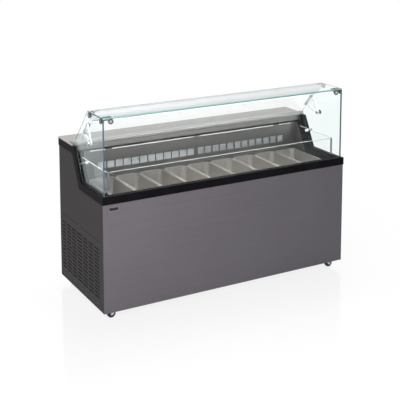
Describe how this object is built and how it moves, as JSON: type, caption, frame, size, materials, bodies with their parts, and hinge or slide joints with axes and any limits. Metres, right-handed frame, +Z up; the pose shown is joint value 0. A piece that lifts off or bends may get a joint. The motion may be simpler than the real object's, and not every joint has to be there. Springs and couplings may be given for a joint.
{
  "type": "ice cream dipping cabinet",
  "caption": "Low ice cream dipping cabinet with a glass sneeze guard, a row of lift-out pans in a cooled well, a clear rear flap, louvred sides and swivel casters.",
  "frame": {"origin": "on the floor, under the middle of the cabinet", "axes": "+X along the row of pans, to the customer's right; +Y towards the server; +Z up"},
  "size_m": [1.666, 0.666, 1.1775],
  "materials": {
    "dark_paint": "satin",
    "zinc": "satin",
    "tread": "matte",
    "black_plastic": "satin",
    "keys": "gloss",
    "foam": "matte",
    "steel": "brushed",
    "bright_metal": "polished",
    "clear_glass": "clear",
    "clear_plastic": "clear",
    "aluminium": "satin",
    "diffuser": "frosted",
    "black_paint": "gloss",
    "copper": "satin"
  },
  "bodies": {
    "case": {"base_tray": "zinc", "front_panel": "dark_paint", "side_panel_left": "dark_paint", "side_panel_right": "dark_paint", "louvre_panel_left": "dark_paint", "louvre_panel_right": "dark_paint", "back_panel": "dark_paint", "control_fascia": "black_plastic", "thermostat": "black_plastic", "cable_gland": "black_plastic", "tub_insulation": "foam", "tub_liner": "steel", "top_frame": "black_plastic", "worktop": "steel", "worktop_lip": "steel", "hood_front": "steel", "rear_wall_left": "steel", "rear_wall_right": "steel", "name_plate": "bright_metal", "pan_rack": "black_plastic", "front_glass": "clear_glass", "top_glass": "clear_glass", "side_glass_left": "clear_glass", "side_glass_right": "clear_glass", "glass_connectors": "steel", "glass_studs": "bright_metal", "lamp_housing": "aluminium", "lamp_diffuser": "diffuser", "inner_guard": "clear_plastic", "evaporator": "aluminium", "blower_motor": "black_paint", "compressor": "black_paint", "condenser": "aluminium", "condenser_motor": "black_paint", "pipework": "copper", "caster_plates": "zinc"},
    "flap": {"rear_flap": "clear_plastic", "flap_arms": "clear_plastic"},
    "condenser_fan": {"condenser_fan": "black_plastic"},
    "blower_rotor": {"blower_rotor": "aluminium"},
    "light_switch": {"light_switch": "keys"},
    "button_up": {"button_up": "keys"},
    "button_down": {"button_down": "keys"},
    "pan_1": {"pan_1": "steel"},
    "pan_2": {"pan_2": "steel"},
    "pan_3": {"pan_3": "steel"},
    "pan_4": {"pan_4": "steel"},
    "pan_5": {"pan_5": "steel"},
    "pan_6": {"pan_6": "steel"},
    "pan_7": {"pan_7": "steel"},
    "pan_8": {"pan_8": "steel"},
    "pan_9": {"pan_9": "steel"},
    "swivel_front_left": {"caster_fork_front_left": "zinc"},
    "wheel_front_left": {"caster_wheel_front_left": "tread"},
    "swivel_front_right": {"caster_fork_front_right": "zinc"},
    "wheel_front_right": {"caster_wheel_front_right": "tread"},
    "swivel_rear_left": {"caster_fork_rear_left": "zinc"},
    "wheel_rear_left": {"caster_wheel_rear_left": "tread"},
    "swivel_rear_right": {"caster_fork_rear_right": "zinc"},
    "wheel_rear_right": {"caster_wheel_rear_right": "tread"}
  },
  "joints": [
    {"name": "pan_1_lift", "type": "slide", "parent": "case", "child": "pan_1", "axis": [0, 0, 1], "range_m": [0, 0.15]},
    {"name": "pan_2_lift", "type": "slide", "parent": "case", "child": "pan_2", "axis": [0, 0, 1], "range_m": [0, 0.15]},
    {"name": "pan_3_lift", "type": "slide", "parent": "case", "child": "pan_3", "axis": [0, 0, 1], "range_m": [0, 0.15]},
    {"name": "pan_4_lift", "type": "slide", "parent": "case", "child": "pan_4", "axis": [0, 0, 1], "range_m": [0, 0.15]},
    {"name": "pan_5_lift", "type": "slide", "parent": "case", "child": "pan_5", "axis": [0, 0, 1], "range_m": [0, 0.15]},
    {"name": "pan_6_lift", "type": "slide", "parent": "case", "child": "pan_6", "axis": [0, 0, 1], "range_m": [0, 0.15]},
    {"name": "pan_7_lift", "type": "slide", "parent": "case", "child": "pan_7", "axis": [0, 0, 1], "range_m": [0, 0.15]},
    {"name": "pan_8_lift", "type": "slide", "parent": "case", "child": "pan_8", "axis": [0, 0, 1], "range_m": [0, 0.15]},
    {"name": "pan_9_lift", "type": "slide", "parent": "case", "child": "pan_9", "axis": [0, 0, 1], "range_m": [0, 0.15]},
    {"name": "flap_hinge", "type": "hinge", "parent": "case", "child": "flap", "pos_m": [0, -0.091, 0.979], "axis": [1, 0, 0], "range_deg": [0, 60]},
    {"name": "front_left_swivel", "type": "hinge", "parent": "case", "child": "swivel_front_left", "pos_m": [-0.746, -0.278, 0.065], "axis": [0, 0, 1], "continuous": true},
    {"name": "front_left_roll", "type": "hinge", "parent": "swivel_front_left", "child": "wheel_front_left", "pos_m": [-0.766, -0.278, 0.025], "axis": [0, 1, 0], "continuous": true},
    {"name": "front_right_swivel", "type": "hinge", "parent": "case", "child": "swivel_front_right", "pos_m": [0.746, -0.278, 0.065], "axis": [0, 0, 1], "continuous": true},
    {"name": "front_right_roll", "type": "hinge", "parent": "swivel_front_right", "child": "wheel_front_right", "pos_m": [0.766, -0.278, 0.025], "axis": [0, 1, 0], "continuous": true},
    {"name": "rear_left_swivel", "type": "hinge", "parent": "case", "child": "swivel_rear_left", "pos_m": [-0.746, 0.278, 0.065], "axis": [0, 0, 1], "continuous": true},
    {"name": "rear_left_roll", "type": "hinge", "parent": "swivel_rear_left", "child": "wheel_rear_left", "pos_m": [-0.766, 0.278, 0.025], "axis": [0, 1, 0], "continuous": true},
    {"name": "rear_right_swivel", "type": "hinge", "parent": "case", "child": "swivel_rear_right", "pos_m": [0.746, 0.278, 0.065], "axis": [0, 0, 1], "continuous": true},
    {"name": "rear_right_roll", "type": "hinge", "parent": "swivel_rear_right", "child": "wheel_rear_right", "pos_m": [0.766, 0.278, 0.025], "axis": [0, 1, 0], "continuous": true},
    {"name": "condenser_fan_spin", "type": "hinge", "parent": "case", "child": "condenser_fan", "pos_m": [-0.682, 0, 0.233], "axis": [1, 0, 0], "continuous": true},
    {"name": "blower_spin", "type": "hinge", "parent": "case", "child": "blower_rotor", "pos_m": [0, 0.226, 0.782], "axis": [1, 0, 0], "continuous": true},
    {"name": "light_switch_rock", "type": "hinge", "parent": "case", "child": "light_switch", "pos_m": [0.5664, 0.3275, 0.38], "axis": [0, 0, 1], "range_deg": [-6, 6]},
    {"name": "button_up_press", "type": "slide", "parent": "case", "child": "button_up", "axis": [0, -1, 0], "range_m": [0, 0.0006], "stiffness_N_per_m": 400},
    {"name": "button_down_press", "type": "slide", "parent": "case", "child": "button_down", "axis": [0, -1, 0], "range_m": [0, 0.0006], "stiffness_N_per_m": 400}
  ]
}
